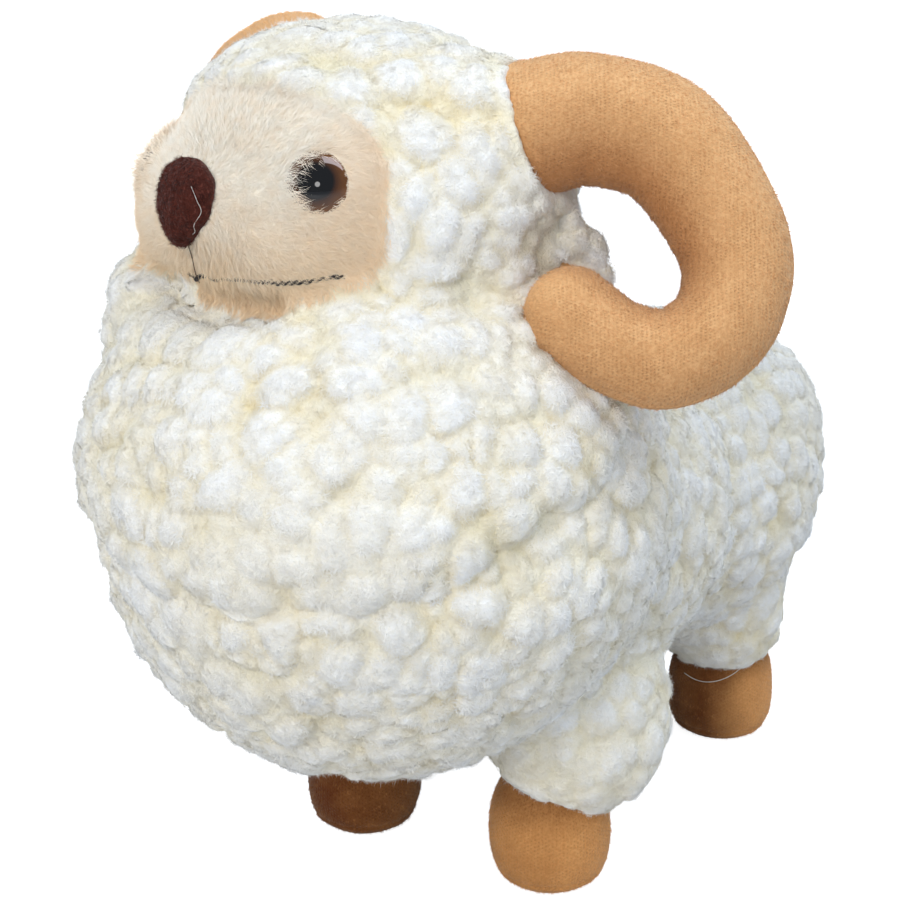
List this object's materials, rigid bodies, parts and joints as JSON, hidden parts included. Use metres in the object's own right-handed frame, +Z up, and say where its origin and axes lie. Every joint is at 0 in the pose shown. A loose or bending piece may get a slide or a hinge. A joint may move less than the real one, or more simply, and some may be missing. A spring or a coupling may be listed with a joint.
{
  "type": "stuffed toy ram",
  "caption": "Stuffed toy ram (sheep) in curly cream fleece, standing on short velour feet, with curled velour horns and its head turned a little to its right.",
  "frame": {"origin": "middle of the toy's own box at floor level, under its soles", "axes": "+Z up, -Y the way the body faces, +X the toy's own left side"},
  "size_m": [0.1842, 0.259, 0.214],
  "materials": {
    "fleece": "curly matt fleece",
    "face_pile": "short soft matt pile",
    "velour_horn": "finely ribbed velour",
    "velour_foot": "finely ribbed velour",
    "velour_ear": "short velour",
    "amber_eye": "clear gloss",
    "felt_nose": "fuzzy felt",
    "mouth_thread": "matt thread"
  },
  "bodies": {
    "root": {"chin": "face_pile", "ear_left": "fleece", "ear_lining_left": "velour_ear", "ear_lining_right": "velour_ear", "ear_right": "fleece", "eye_left": "amber_eye", "eye_right": "amber_eye", "face": "face_pile", "foot_front_left": "velour_foot", "foot_front_right": "velour_foot", "foot_hind_left": "velour_foot", "foot_hind_right": "velour_foot", "head": "fleece", "horn_left_bend": "velour_horn", "horn_left_root": "velour_horn", "horn_left_tip": "velour_horn", "horn_right_bend": "velour_horn", "horn_right_root": "velour_horn", "horn_right_tip": "velour_horn", "leg_front_left": "fleece", "leg_front_right": "fleece", "leg_hind_left": "fleece", "leg_hind_right": "fleece", "mouth_thread": "mouth_thread", "nose": "felt_nose", "tail": "fleece", "trunk": "fleece"}
  },
  "joints": []
}
